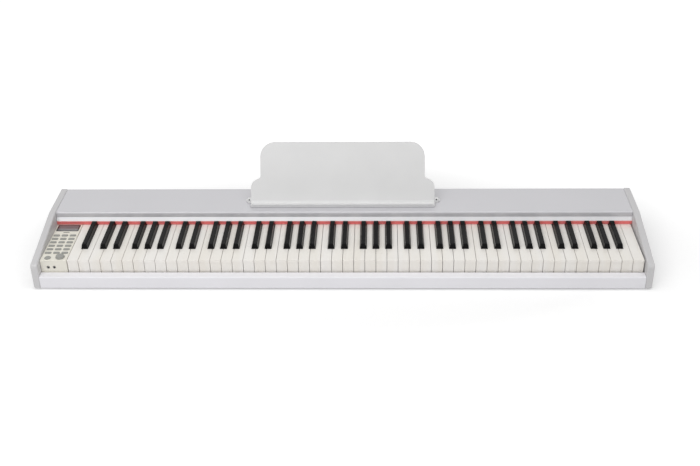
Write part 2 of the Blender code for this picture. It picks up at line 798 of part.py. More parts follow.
def make_panel(material):
    """A box without a floor, level with the keys, with an opening for each control."""
    left = PANEL_X - PANEL_WIDTH / 2
    right = PANEL_X + PANEL_WIDTH / 2
    rear = FELT_Y + PANEL_UNDER_RAIL
    skin = KEY_Z - PANEL_WALL
    outer = box((left, KEY_Y, FLOOR_Z), (right, rear, KEY_Z))
    panel = node("control_panel", outer, material)
    ease_edges(panel, EDGE_ROUND / 2, 1, 60)
    hollow = box(
        (left + PANEL_WALL, KEY_Y + PANEL_WALL, FLOOR_Z - SEAT),
        (right - PANEL_WALL, rear - PANEL_WALL, skin),
    )
    cut(panel, hollow)
    below = skin - SEAT
    above = KEY_Z + SEAT
    holes = [
        prism(button_outline((x, y), RUN), below, above)
        for x in column_middles()
        for y in row_middles()
    ]
    round_hole = circle(panel_point(ROUND_BUTTON_PLACE), ROUND_BUTTON_RADIUS + RUN, 24)
    holes.append(prism(round_hole, below, above))
    shaft_hole = circle(panel_point(KNOB_PLACE), SHAFT_RADIUS + RUN, 16)
    holes.append(prism(shaft_hole, below, above))
    window = rectangle(display_middle(), [side + 2 * SEAT for side in DISPLAY_SIZE[:2]])
    corner = DISPLAY_CORNER + SEAT
    holes.append(prism(rounded(window, corner, 2), KEY_Z - DISPLAY_SIZE[2] - SEAT, above))
    slot = rectangle((PANEL_X, KEY_Y + SLOT_REACH), SLOT_SIZE)
    holes.append(prism(rounded(slot, SLOT_SIZE[1] / 2.2, 3), KEY_Z - SLOT_SIZE[2], above))
    for place in JACK_PLACES:
        collar = circle((PANEL_X + place, KEY_Z - JACK_DROP), JACK_COLLAR_RADIUS + SEAT, 16)
        holes.append(prism(collar, KEY_Y - SEAT, KEY_Y + PANEL_WALL + SEAT, "Y"))
    cut(panel, merged(holes))
    posts = [
        prism(circle(middle, POST_RADIUS, 10), KEY_Z - BOARD_DROP + SEAT, skin + SEAT)
        for middle in boss_middles()
    ]
    join(panel, merged(posts))


def make_display(material):
    outline = rounded(rectangle(display_middle(), DISPLAY_SIZE[:2]), DISPLAY_CORNER, 2)
    node("display_window", prism(outline, KEY_Z - DISPLAY_SIZE[2], KEY_Z), material)


def make_button_strips(material):
    """Three strips under the panel's skin, each with a column of caps that come up through it."""
    skin = KEY_Z - PANEL_WALL
    rows = row_middles()
    top = KEY_Z + BUTTON_RISE
    for name, x in zip(("left", "middle", "right"), column_middles()):
        size = (STRIP_WIDTH, rows[-1] - rows[0] + BUTTON_SIZE[1])
        bar = rectangle((x, (rows[0] + rows[-1]) / 2), size)
        bar_top = skin - SEAT
        pivot = (x, rows[0], bar_top)
        strip = node(
            f"{name}_button_strip", prism(bar, bar_top - STRIP_THICKNESS, bar_top), material, pivot
        )
        caps = [prism(button_outline((x, y)), bar_top - SEAT, top) for y in rows]
        join(strip, merged(caps))


def make_round_button(material):
    x, y = panel_point(ROUND_BUTTON_PLACE)
    skin = KEY_Z - PANEL_WALL
    radius = ROUND_BUTTON_RADIUS
    flange = radius + ROUND_BUTTON_FLANGE
    top = KEY_Z + BUTTON_RISE
    profile = [
        (0, top),
        (radius - ROUND_BUTTON_EDGE, top),
        (radius, top - ROUND_BUTTON_EDGE),
        (radius, skin - SEAT),
        (flange, skin - SEAT),
        (flange, skin - SEAT - STRIP_THICKNESS),
        (0, skin - SEAT - STRIP_THICKNESS),
    ]
    smooth(node("round_button", turned(profile, (x, y, 0), 24), material, (x, y, skin)))


def make_knob(material):
    """The volume knob: a fluted rim with a dished top, on a shaft into the control below."""
    x, y = panel_point(KNOB_PLACE)
    foot = KEY_Z + SEAT
    top = KEY_Z + KNOB_HEIGHT
    low = KEY_Z - BOARD_DROP + SHAFT_END
    rim = KNOB_RADIUS - FLUTE_DEPTH
    steps = 2 * KNOB_FLUTES

    def ring(radius, height, flute=0.0):
        points = []
        for i in range(steps):
            turn = 2 * pi * i / steps
            reach = radius - (flute if i % 2 else 0.0)
            points.append((x + reach * cos(turn), y + reach * sin(turn), height))
        return points

    rings = [
        ring(SHAFT_RADIUS, low),
        ring(SHAFT_RADIUS, foot),
        ring(KNOB_RADIUS, foot),
        ring(KNOB_RADIUS, foot + KNOB_SKIRT),
        ring(rim, foot + KNOB_SKIRT + FLUTE_DEPTH / 4, FLUTE_DEPTH),
        ring(rim - KNOB_DRAFT, top - KNOB_CHAMFER, FLUTE_DEPTH),
        ring(rim - KNOB_DRAFT - KNOB_CHAMFER, top),
        ring(rim - KNOB_DRAFT - 3 * KNOB_CHAMFER, top - KNOB_DISH),
    ]
    knob = node("volume_knob", loft(rings), material, (x, y, foot))
    width, length, depth = POINTER_SIZE
    start = y + POINTER_REACH
    cut(knob, box((x - width / 2, start, top - depth), (x + width / 2, start + length, top)))


def make_jack_block(material):
    """Two small jacks side by side, whose collars come through the panel's front."""
    wall = KEY_Y + PANEL_WALL + SEAT
    z = KEY_Z - JACK_DROP
    places = [PANEL_X + place for place in JACK_PLACES]
    low = (places[0] - JACK_MARGIN, wall, z - JACK_MARGIN)
    high = (places[-1] + JACK_MARGIN, wall + JACK_DEPTH, z + JACK_MARGIN)
    block = node("phone_jack_block", box(low, high), material)
    nose = KEY_Y - JACK_NOSE
    collars = [prism(circle((x, z), JACK_COLLAR_RADIUS, 16), nose, wall + SEAT, "Y") for x in places]
    join(block, merged(collars))
    end = wall + JACK_DEPTH - JACK_BORE_END
    bores = [prism(circle((x, z), JACK_BORE_RADIUS, 12), nose - SEAT, end, "Y") for x in places]
    cut(block, merged(bores))


def make_circuit_board(material):
    """The board on the panel's posts, with a switch under each button and the volume control."""
    top = KEY_Z - BOARD_DROP
    half = BOARD_WIDTH / 2
    low = (PANEL_X - half, KEY_Y + PANEL_WALL + BOARD_FRONT_GAP, top - BOARD_THICKNESS)
    high = (PANEL_X + half, FELT_Y - BOARD_REAR_GAP, top)
    board = node("main_circuit_board", box(low, high), material)
    strip_under = KEY_Z - PANEL_WALL - SEAT - STRIP_THICKNESS
    switch_top = strip_under - BUTTON_TRAVEL - SEAT
    places = [(x, y) for x in column_middles() for y in row_middles()]
    places.append(panel_point(ROUND_BUTTON_PLACE))
    size = (SWITCH_SIZE, SWITCH_SIZE)
    switches = [prism(rectangle(place, size), top - SEAT, switch_top) for place in places]
    control = circle(panel_point(KNOB_PLACE), CONTROL_RADIUS, 16)
    switches.append(prism(control, top - SEAT, KEY_Z - PANEL_WALL - SEAT))
    join(board, merged(switches))
    bore = circle(panel_point(KNOB_PLACE), SHAFT_RADIUS + RUN, 16)
    cut(board, prism(bore, top + SHAFT_END - RUN, KEY_Z))


# Music stand


def stand_outline():
    """Half of the panel from its foot up, as (x, distance along the panel)."""
    corners = [
        (EAR_HALF_WIDTH, 0),
        (EAR_HALF_WIDTH, EAR_TOP),
        (STAND_HALF_WIDTH, EAR_TOP + EAR_SLOPE),
        (STAND_HALF_WIDTH, STAND_HEIGHT),
        (-STAND_HALF_WIDTH, STAND_HEIGHT),
        (-STAND_HALF_WIDTH, EAR_TOP + EAR_SLOPE),
        (-EAR_HALF_WIDTH, EAR_TOP),
        (-EAR_HALF_WIDTH, 0),
    ]
    radii = [0, EAR_CORNER, NECK_CORNER, STAND_CORNER]
    return rounded(corners, radii + radii[::-1], 5)


def leaning(point, depth):
    """A point of the panel's outline, at a depth behind its front face, in world axes."""
    x, along = point
    front = DECK_Y + STAND_REACH
    y = front + along * sin(STAND_LEAN) + depth * cos(STAND_LEAN)
    return x, y, HINGE_Z + along * cos(STAND_LEAN) - depth * sin(STAND_LEAN)


def stand_base():
    """Section of the foot, (y, z): the lip, the trough and what joins the panel to the hinge."""
    under = DECK_TOP + SEAT
    face = DECK_Y + STAND_REACH
    lip_inner = face - TROUGH_DEPTH
    lip_top = lip_inner - LIP_SLANT
    floor = under + TROUGH_FLOOR
    corners = [
        (HINGE_Y, under + HINGE_CLEARANCE),
        (HINGE_Y, HINGE_Z + HINGE_RADIUS / 3),
        leaning((0, BASE_OVERLAP), STAND_THICKNESS / 2)[1:],
        (face, HINGE_Z + LIP_SLANT),
        (face - LIP_SLANT, floor),
        (lip_inner, floor),
        (lip_top, under + LIP_RISE),
        (lip_top - LIP_THICKNESS, under + LIP_RISE - SEAT),
        (lip_inner - LIP_THICKNESS + LIP_SLANT / 2, under),
        (HINGE_Y - FOOT_HEEL, under),
    ]
    edge = LIP_THICKNESS / 3
    radii = [0, 0, 0, TROUGH_FILLET, TROUGH_FILLET, edge, edge, edge, edge, edge]
    return rounded(corners, radii, 3)


def make_stand(material):
    """A leaning panel with ears, a trough along its foot and a hinge barrel behind."""
    pivot = Vector((0, HINGE_Y, HINGE_Z))
    front = [leaning(point, 0) for point in stand_outline()]
    back = [leaning(point, STAND_THICKNESS) for point in stand_outline()]
    stand = node("music_stand", loft([front, back]), material, pivot)
    ease_edges(stand, STAND_EDGE, 1, 60)
    base = prism(stand_base(), -EAR_HALF_WIDTH, EAR_HALF_WIDTH, "X")
    join(stand, base)
    barrel = prism(
        circle((HINGE_Y, HINGE_Z), HINGE_RADIUS, 20), -EAR_HALF_WIDTH, EAR_HALF_WIDTH, "X"
    )
    join(stand, barrel)
    lip_back = DECK_Y + STAND_REACH - TROUGH_DEPTH + SEAT
    lip_front = lip_back - LIP_SLANT - 2 * LIP_THICKNESS
    lip_top = DECK_TOP + SEAT + LIP_RISE
    cutters = []
    for side in (-1, 1):
        ends = sorted((side * (EAR_HALF_WIDTH - PIN_GRIP - SEAT), side * (EAR_HALF_WIDTH + SEAT)))
        hole = circle((HINGE_Y, HINGE_Z), PIN_RADIUS + SEAT, 12)
        cutters.append(prism(hole, ends[0], ends[1], "X"))
        chamfer = [
            (side * (EAR_HALF_WIDTH - LIP_END_CHAMFER - SEAT), lip_top + SEAT),
            (side * (EAR_HALF_WIDTH + SEAT), lip_top + SEAT),
            (side * (EAR_HALF_WIDTH + SEAT), lip_top - LIP_END_CHAMFER - SEAT),
        ]
        cutters.append(prism(chamfer, lip_front, lip_back, "Y"))
    cut(stand, merged(cutters))


def make_stand_brackets(material, pin_material):
    """A round boss on the top board at each end, with an eye for the hinge pin."""
    under = DECK_TOP + SEAT
    for name, side in (("left", -1), ("right", 1)):
        inner = EAR_HALF_WIDTH + SEAT
        outer = inner + PIN_GRIP
        middle = (inner + BOSS_OFFSET, HINGE_Y + BOSS_SETBACK)
        disc = [(side * max(inner, x), y) for x, y in circle(middle, BOSS_RADIUS, 28)]
        bracket = node(f"{name}_stand_bracket", prism(disc, under, under + BOSS_HEIGHT), material)
        eye = circle((HINGE_Y, HINGE_Z), HINGE_RADIUS, 20)
        upper = eye[: len(eye) // 2 + 1]
        foot = [(HINGE_Y + turn * HINGE_RADIUS, under + SEAT) for turn in (-1, 1)]
        ends = sorted((side * inner, side * outer))
        join(bracket, prism(upper + foot, ends[0], ends[1], "X"))
        hole = circle((HINGE_Y, HINGE_Z), PIN_RADIUS + SEAT, 12)
        past = sorted((side * (inner - SEAT), side * (outer + SEAT)))
        cut(bracket, prism(hole, past[0], past[1], "X"))
        pin = circle((HINGE_Y, HINGE_Z), PIN_RADIUS, 12)
        reach = sorted((side * (EAR_HALF_WIDTH - PIN_GRIP), side * (outer - SEAT)))
        smooth(node(f"{name}_stand_pin", prism(pin, reach[0], reach[1], "X"), pin_material))


# Rear


def connector_middle():
    return -CONNECTOR_PLACE, BASE_Z + CONNECTOR_RISE


def make_rear_board(material):
    """The board across the back, with the speaker slots and the connector opening."""
    low = (SEAT - INNER, REAR_Y - REAR_THICKNESS, BASE_Z)
    board = node("rear_board", box(low, (INNER - SEAT, REAR_Y, DECK_UNDER - SEAT)), material)
    front = REAR_Y - REAR_THICKNESS - SEAT
    rear = REAR_Y + SEAT
    opening = rectangle(connector_middle(), [side + 2 * SEAT for side in CONNECTOR_SIZE[:2]])
    holes = [prism(rounded(opening, CONNECTOR_CORNER + SEAT, 2), front, rear, "Y")]
    middle_z = (BASE_Z + DECK_UNDER) / 2
    for side in (-1, 1):
        for i in range(GRILLE_SLOTS):
            x = side * SPEAKER_PLACE + (i - (GRILLE_SLOTS - 1) / 2) * GRILLE_PITCH
            slot = rounded(rectangle((x, middle_z), GRILLE_SLOT), GRILLE_SLOT[0] / 3, 1)
            holes.append(prism(slot, front, rear, "Y"))
    cut(board, merged(holes))


def make_connectors(material):
    """One moulding with the power inlet, the pedal socket and the data port."""
    x, z = connector_middle()
    rear = REAR_Y - CONNECTOR_SETBACK
    front = rear - CONNECTOR_SIZE[2]
    outline = rounded(rectangle((x, z), CONNECTOR_SIZE[:2]), CONNECTOR_CORNER, 2)
    block = node("rear_connector_plate", prism(outline, front, rear, "Y"), material)
    past = rear + SEAT
    inlet = (x + SOCKET_PITCH, z)
    port = (x - SOCKET_PITCH, z)
    end = rear - SOCKET_DEPTH
    bores = [
        prism(circle(inlet, INLET_BORE_RADIUS, 16), end, past, "Y"),
        prism(circle((x, z), PEDAL_BORE_RADIUS, 16), rear - PEDAL_BORE_DEPTH, past, "Y"),
        prism(rectangle(port, PORT_SIZE), end, past, "Y"),
    ]
    cut(block, merged(bores))
    tip = rear - SOCKET_TIP_SETBACK
    inner = [
        prism(circle(inlet, INLET_PIN_RADIUS, 10), end - SEAT, tip, "Y"),
        prism(rectangle(port, PORT_TONGUE), end - SEAT, tip, "Y"),
    ]
    join(block, merged(inner))


def make_speakers(material):
    """Oval drivers behind the rear slots: frame, cone and magnet in one piece."""
    face = REAR_Y - REAR_THICKNESS - SEAT
    middle_z = (BASE_Z + DECK_UNDER) / 2
    half_x = SPEAKER_SIZE[0] / 2
    half_z = SPEAKER_SIZE[1] / 2
    basket = (half_x * BASKET_SHARE, half_z * BASKET_SHARE)
    stages = [
        (MAGNET_RADIUS, MAGNET_RADIUS, SPEAKER_DEPTH),
        (MAGNET_RADIUS, MAGNET_RADIUS, SPEAKER_DEPTH - MAGNET_HEIGHT),
        (*basket, 2 * FLANGE_THICKNESS),
        (*basket, FLANGE_THICKNESS),
        (half_x, half_z, FLANGE_THICKNESS),
        (half_x, half_z, 0),
        (half_x * CONE_SHARE, half_z * CONE_SHARE, 0),
        (half_x * CONE_FLOOR[0], half_z * CONE_FLOOR[1], CONE_DEPTH),
    ]
    for name, side in (("left", -1), ("right", 1)):
        rings = []
        for reach_x, reach_z, depth in stages:
            ring = circle((0, 0), 1.0, 18)
            rings.append(
                [
                    (side * SPEAKER_PLACE + reach_x * cx, face - depth, middle_z + reach_z * cz)
                    for cx, cz in ring
                ]
            )
        smooth(node(f"{name}_speaker", loft(rings), material))


def main():
    clear_scene()
    cabinet = finish("satin_white", (226, 226, 229), 0.42)
    panel = finish("panel_white", (228, 228, 229), 0.4)
    stand = finish("stand_white", (226, 226, 222), 0.38)
    ivory = finish("key_white", (236, 232, 224), 0.28)
    ebony = finish("key_black", (26, 26, 27), 0.34)
    felt = finish("felt_red", (178, 42, 50), 0.95)
    grey = finish("button_grey", (166, 166, 162), 0.5)
    glass = finish("display_grey", (104, 103, 105), 0.12)
    dark = finish("dark_plastic", (38, 38, 40), 0.5)
    rubber = finish("rubber", (34, 34, 34), 0.85)
    tray = finish("tray_grey", (70, 71, 74), 0.6)
    board = finish("board_green", (38, 84, 58), 0.45)
    steel = finish("steel", (176, 178, 180), 0.3, 1.0)

    make_cheeks(cabinet)
    make_slip(cabinet)
    make_bottom(cabinet)
    make_top(cabinet)
    make_fall_rail(panel, felt)
    make_rear_board(cabinet)
    make_connectors(dark)
    make_speakers(dark)
    make_feet(rubber)
    make_key_bed(tray)
    make_keys(ivory, ebony)
    make_panel(panel)
    make_display(glass)
    make_button_strips(grey)
    make_round_button(grey)
    make_knob(grey)
    make_jack_block(dark)
    make_circuit_board(board)
    make_stand(stand)
    make_stand_brackets(stand, steel)


main()
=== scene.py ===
from math import cos, pi, radians, sin

import bpy
from mathutils import Matrix, Vector


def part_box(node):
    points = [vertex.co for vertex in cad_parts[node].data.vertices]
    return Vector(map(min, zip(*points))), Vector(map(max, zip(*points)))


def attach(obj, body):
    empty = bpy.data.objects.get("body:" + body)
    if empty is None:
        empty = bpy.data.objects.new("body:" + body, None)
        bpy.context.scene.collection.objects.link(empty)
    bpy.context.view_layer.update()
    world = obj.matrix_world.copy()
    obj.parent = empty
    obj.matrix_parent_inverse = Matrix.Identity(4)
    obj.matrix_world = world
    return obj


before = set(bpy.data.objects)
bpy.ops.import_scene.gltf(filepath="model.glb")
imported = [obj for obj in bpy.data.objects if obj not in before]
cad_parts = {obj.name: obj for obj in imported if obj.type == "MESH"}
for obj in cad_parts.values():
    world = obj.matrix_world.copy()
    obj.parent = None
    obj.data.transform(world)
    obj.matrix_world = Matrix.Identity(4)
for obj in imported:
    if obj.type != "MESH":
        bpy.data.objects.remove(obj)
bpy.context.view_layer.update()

mm = 0.001


# Camera and lamps

camera = {
    "place": (0.08313, -2.02530, 1.27181),
    "yaw": -1.854,  # degrees, to the left
    "pitch": 30.968,  # down
    "roll": -0.998,
    "lens": 54.98,
    "sensor": 36.0,
}


def makeCamera():
    yaw, pitch, roll = (radians(camera[turn]) for turn in ("yaw", "pitch", "roll"))
    ahead = Vector((sin(yaw) * cos(pitch), cos(yaw) * cos(pitch), -sin(pitch)))
    level = Vector((cos(yaw), -sin(yaw), 0))
    upright = level.cross(ahead)
    right = level * cos(roll) + upright * sin(roll)
    up = upright * cos(roll) - level * sin(roll)
    data = bpy.data.cameras.new("camera")
    data.lens = camera["lens"]
    data.sensor_width = camera["sensor"]
    eye = bpy.data.objects.new("camera", data)
    turn = Matrix((right, up, -ahead)).transposed().to_4x4()
    eye.matrix_world = Matrix.Translation(camera["place"]) @ turn
    bpy.context.collection.objects.link(eye)
    bpy.context.scene.camera = eye
    print("camera placed")


lamps = {
    "above": {"place": (0, -0.5, 2.2), "aim": (0, 0, 0), "size": (3.2, 1.6), "power": 23},
    "front": {"place": (-0.8, -2.3, 1.7), "aim": (0, 0, 0.05), "size": (1.6, 0.9), "power": 19},
}


def makeLamps():
    for name, one in lamps.items():
        data = bpy.data.lights.new(name, "AREA")
        data.shape = "RECTANGLE"
        data.size, data.size_y = one["size"]
        data.energy = one["power"]
        lamp = bpy.data.objects.new(name, data)
        lamp.location = one["place"]
        beam = Vector(one["aim"]) - Vector(one["place"])
        lamp.rotation_euler = beam.to_track_quat("-Z", "Y").to_euler()
        bpy.context.collection.objects.link(lamp)
    print("lamps placed:", len(lamps))


# Shaders

grainSpread = 0.2  # how far a moulding's roughness varies


class Sock:  # wraps a socket, so that shader maths is written as expressions
    def __init__(self, look, socket):
        self.look = look
        self.socket = socket

    def maths(self, operation, *others):
        values = dict(enumerate((self, *others)))
        return self.look.make("ShaderNodeMath", {"operation": operation}, values)

    def __add__(self, other):
        return self.maths("ADD", other)

    def __sub__(self, other):
        return self.maths("SUBTRACT", other)

    def __rsub__(self, other):
        return self.look.make("ShaderNodeMath", {"operation": "SUBTRACT"}, {0: other, 1: self})

    def __mul__(self, other):
        return self.maths("MULTIPLY", other)

    def __gt__(self, other):
        return self.maths("GREATER_THAN", other)

    def __lt__(self, other):
        return self.maths("LESS_THAN", other)

    __radd__ = __add__
    __rmul__ = __mul__

    def size(self):
        return self.maths("ABSOLUTE")

    def within(self, low, high):
        return self.look.make("ShaderNodeMapRange", {"clamp": True}, {0: self, 1: low, 2: high})


class Look:
    def __init__(self, name, **values):
        self.material = bpy.data.materials.new(name)
        self.material.use_nodes = True
        self.tree = self.material.node_tree
        self.shader = self.tree.nodes["Principled BSDF"]
        self.set(**values)

    def make(self, kind, settings=None, values=None, out=0):
        node = self.tree.nodes.new(kind)
        for name, value in (settings or {}).items():
            setattr(node, name, value)
        for key, value in (values or {}).items():
            self.feed(node.inputs[key], value)
        return Sock(self, node.outputs[out])

    def feed(self, socket, value):
        if isinstance(value, Sock):
            self.tree.links.new(value.socket, socket)
        elif socket.type == "RGBA":
            socket.default_value = (*value, 1.0)
        else:
            socket.default_value = value

    def set(self, **values):
        for name, value in values.items():
            self.feed(self.shader.inputs[name.replace("_", " ")], value)
        return self

    def place(self):
        return self.make("ShaderNodeTexCoord", out="Object")

    def axis(self, letter):
        return self.make("ShaderNodeSeparateXYZ", None, {0: self.place()}, out=letter)

    def noise(self, scale, detail=2.0, stretch=(1, 1, 1)):
        where = self.make("ShaderNodeMapping", None, {"Vector": self.place(), "Scale": stretch})
        values = {"Vector": where, "Scale": scale, "Detail": detail}
        return self.make("ShaderNodeTexNoise", None, values, out="Fac")

    def mix(self, share, first, second):
        values = {"Factor": share, 6: first, 7: second}
        return self.make("ShaderNodeMix", {"data_type": "RGBA"}, values, out=2)

    def bump(self, height, distance):
        values = {"Height": height, "Distance": distance}
        return self.set(Normal=self.make("ShaderNodeBump", None, values, out="Normal"))

    def grain(self, roughness, scale, depth):
        fine = self.noise(scale, 3.0)
        self.set(Roughness=roughness + (fine - 0.5) * grainSpread)
        return self.bump(fine, depth)


def screenColour(*channels):  # colours are written as a screen shows them
    shares = [channel / 255 for channel in channels]
    return tuple(s / 12.92 if s <= 0.04045 else ((s + 0.055) / 1.055) ** 2.4 for s in shares)


def darker(tone, share):
    return tuple(channel * share for channel in tone)


litAndShadedPaints = {  # material and colour: one white paint, darker on the deck and cheeks as painted shade and lighter on the slip as painted light
    "deck": ("deckPaintShaded", (206, 205, 209)),
    "cheek": ("cheekPaintShaded", (208, 207, 208)),
    "slip": ("slipPaintLit", (238, 237, 241)),
    "board": ("boardPaint", (226, 226, 229)),
}
paintCoat = {
    "roughness": 0.4,
    "roughnessSpread": 0.12,
    "rubbedScale": 28.0,  # of the patches in the roughness, per metre
    "cloudScale": 7.0,  # of the patches in the colour
    "cloudRange": (0.3, 0.7),
    "cloudShade": 0.965,
    "peelScale": 900.0,
    "peelDepth": 0.02 * mm,
}


def painted(name, tone):
    look = Look(name)
    tone = screenColour(*tone)
    cloud = look.noise(paintCoat["cloudScale"], 3.0).within(*paintCoat["cloudRange"])
    look.set(Base_Color=look.mix(cloud, darker(tone, paintCoat["cloudShade"]), tone))
    peel = look.noise(paintCoat["peelScale"])
    rubbed = look.noise(paintCoat["rubbedScale"], 3.0) - 0.5
    look.set(Roughness=paintCoat["roughness"] + rubbed * paintCoat["roughnessSpread"])
    return look.bump(peel, paintCoat["peelDepth"])


mouldings = {  # material, colour, roughness, grain per metre and its depth
    "stand": ("standMoulding", (229, 229, 229), 0.4, 1800.0, 0.03 * mm),
    "button": ("buttonRubber", (160, 160, 155), 0.55, 2600.0, 0.04 * mm),
    "dark": ("darkMoulding", (38, 38, 40), 0.5, 2600.0, 0.04 * mm),
    "rubber": ("footRubber", (34, 34, 34), 0.85, 1400.0, 0.1 * mm),
    "tray": ("trayMoulding", (84, 85, 88), 0.6, 2600.0, 0.04 * mm),
}
mouldCloud = {"scale": 16.0, "shade": 0.93}


def moulded(name, tone, roughness, grain, depth):
    look = Look(name)
    tone = screenColour(*tone)
    cloud = look.noise(mouldCloud["scale"])
    look.set(Base_Color=look.mix(cloud, darker(tone, mouldCloud["shade"]), tone))
    return look.grain(roughness, grain, depth)


metals = {  # material, colour and roughness
    "steel": ("pinSteel", (176, 178, 180), 0.3),
    "screw": ("screwSteel", (70, 70, 72), 0.38),
    "ring": ("ringNickel", (205, 205, 203), 0.2),
}
brushing = {"scale": 900.0, "stretch": (1, 1, 12), "shade": 0.8, "roughnessSpread": 0.15}


def brushedMetal(name, tone, roughness):
    look = Look(name, Metallic=1.0)
    brushed = look.noise(brushing["scale"], 2.0, brushing["stretch"])
    tone = screenColour(*tone)
    look.set(Base_Color=look.mix(brushed, tone, darker(tone, brushing["shade"])))
    return look.set(Roughness=roughness + brushed * brushing["roughnessSpread"])


felt = {
    "scale": 1500.0,  # fibres per metre
    "stretch": (0.3, 1, 1),
    "range": (0.3, 0.7),
    "deep": (240, 96, 98),
    "pale": (255, 146, 144),
    "nap": 0.4 * mm,
    "roughness": 0.95,
    "sheen": 0.5,
    "sheenRoughness": 0.5,
}


def fibresOf(look):
    return look.noise(felt["scale"], 4.0, felt["stretch"])


def feltLook():
    look = Look("keyFelt", Roughness=felt["roughness"])
    look.set(Sheen_Weight=felt["sheen"], Sheen_Roughness=felt["sheenRoughness"])
    fibres = fibresOf(look)
    deep, pale = screenColour(*felt["deep"]), screenColour(*felt["pale"])
    look.set(Base_Color=look.mix(fibres.within(*felt["range"]), deep, pale))
    return look.bump(fibres, felt["nap"])


rail = {
    # painted light: the rail's white is lighter than the deck's, for the light on the slanted rail
    "pale": (236, 236, 238),
    "dark": (228, 228, 231),
    "cloudScale": 9.0,
    "roughness": 0.4,
    "coat": 0.3,
    "coatRoughness": 0.15,
    "feltTop": 70.05 * mm,  # the felt is folded up over the rail's lower edge, to this height
    # painted light: the felt wrap is paler than the key felt, for the lit strip
    "feltTonesLit": ((252, 156, 154), (255, 150, 148)),
    "feltRoughness": 0.9,
    "nap": 0.3 * mm,
}


def railLook():
    look = Look("railPaintLit", Coat_Weight=rail["coat"], Coat_Roughness=rail["coatRoughness"])
    cloud = look.noise(rail["cloudScale"], 3.0)
    # painted light: the rail's paint and its felt wrap are lighter copies of the cabinet white and
    # the key felt
    paint = look.mix(cloud, screenColour(*rail["pale"]), screenColour(*rail["dark"]))
    fibres = fibresOf(look)
    litCloth = look.mix(fibres, *(screenColour(*tone) for tone in rail["feltTonesLit"]))
    wrap = look.axis("Z") < rail["feltTop"]
    rougher = rail["feltRoughness"] - rail["roughness"]
    look.set(Base_Color=look.mix(wrap, paint, litCloth), Roughness=rail["roughness"] + wrap * rougher)
    return look.bump(fibres * wrap, rail["nap"])


panel = {
    "pale": (241, 238, 227),
    "dark": (232, 228, 216),
    "cloudScale": 16.0,
    "roughness": 0.42,
    "grainScale": 2600.0,
    "grainDepth": 0.04 * mm,
    "slot": (30, 30, 32),  # painted shade: the slot below the display is painted dark inside
    "slotReach": 116.5 * mm,  # from the panel's front to the slot's middle
    "slotWidth": 14.3 * mm,
    "slotHeight": 2.4 * mm,
    "slotSkin": 0.4 * mm,  # the rim above the painted shade, left in the skin's colour
    "slotSpare": 0.1 * mm,
}


def panelLook():
    look = Look("panelMouldingSlotShade")
    look.grain(panel["roughness"], panel["grainScale"], panel["grainDepth"])
    low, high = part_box("control_panel")
    across = (look.axis("X") - (low.x + high.x) / 2).size()
    along = (look.axis("Y") - (low.y + panel["slotReach"])).size()
    wide = across < panel["slotWidth"] / 2 + panel["slotSpare"]
    tall = along < panel["slotHeight"] / 2 + panel["slotSpare"]
    sunk = look.axis("Z") < high.z - panel["slotSkin"]
    cloud = look.noise(panel["cloudScale"])
    skin = look.mix(cloud, screenColour(*panel["dark"]), screenColour(*panel["pale"]))
    # painted shade: inside the slot the skin turns dark
    return look.set(Base_Color=look.mix(wide * tall * sunk, skin, screenColour(*panel["slot"])))


whiteKeys = {
    "tone": (246, 243, 238),
    "worn": (241, 236, 227),
    "wornScale": 5.0,
    "wornStretch": (8, 1, 1),
    "wornRange": (0.35, 0.75),
    "roughness": 0.24,
    "roughnessSpread": 0.12,
    "smearScale": 60.0,
    "rippleScale": 300.0,
    "rippleDepth": 0.01 * mm,
    "coat": 0.25,
    "coatRoughness": 0.12,
}


def whiteKeyLook():
    look = Look("whiteKeyGloss", IOR=1.49)
    look.set(Coat_Weight=whiteKeys["coat"], Coat_Roughness=whiteKeys["coatRoughness"])
    worn = look.noise(whiteKeys["wornScale"], 3.0, whiteKeys["wornStretch"])
    tones = [screenColour(*whiteKeys[tone]) for tone in ("tone", "worn")]
    look.set(Base_Color=look.mix(worn.within(*whiteKeys["wornRange"]), *tones))
    smears = look.noise(whiteKeys["smearScale"], 3.0)
    look.set(Roughness=whiteKeys["roughness"] + smears * whiteKeys["roughnessSpread"])
    return look.bump(look.noise(whiteKeys["rippleScale"]), whiteKeys["rippleDepth"])


blackKeys = {
    "dark": (5, 5, 6),
    "pale": (12, 12, 13),
    "cloudScale": 22.0,
    "specular": 0.09,
    "roughness": 0.17,
    "roughnessSpread": 0.1,
    "grainScale": 1500.0,
    "grainStretch": (3, 1, 3),  # the grain runs along the key
    "grainDepth": 0.03 * mm,
}


def blackKeyLook():
    look = Look("blackKeySatin", IOR=1.5, Specular_IOR_Level=blackKeys["specular"])
    grain = look.noise(blackKeys["grainScale"], 2.0, blackKeys["grainStretch"])
    cloud = look.noise(blackKeys["cloudScale"], 3.0)
    tones = [screenColour(*blackKeys[tone]) for tone in ("dark", "pale")]
    look.set(Base_Color=look.mix(cloud, *tones))
    look.set(Roughness=blackKeys["roughness"] + grain * blackKeys["roughnessSpread"])
    return look.bump(grain, blackKeys["grainDepth"])


display = {
    "glow": (124, 122, 124),
    "frame": (62, 61, 63),
    "frameWidth": 3.2 * mm,
    "cellScale": 700.0,
    "cellShade": 0.72,
    "cellShare": 0.25,
    "roughness": 0.14,
    "coat": 0.6,
    "coatRoughness": 0.05,
}


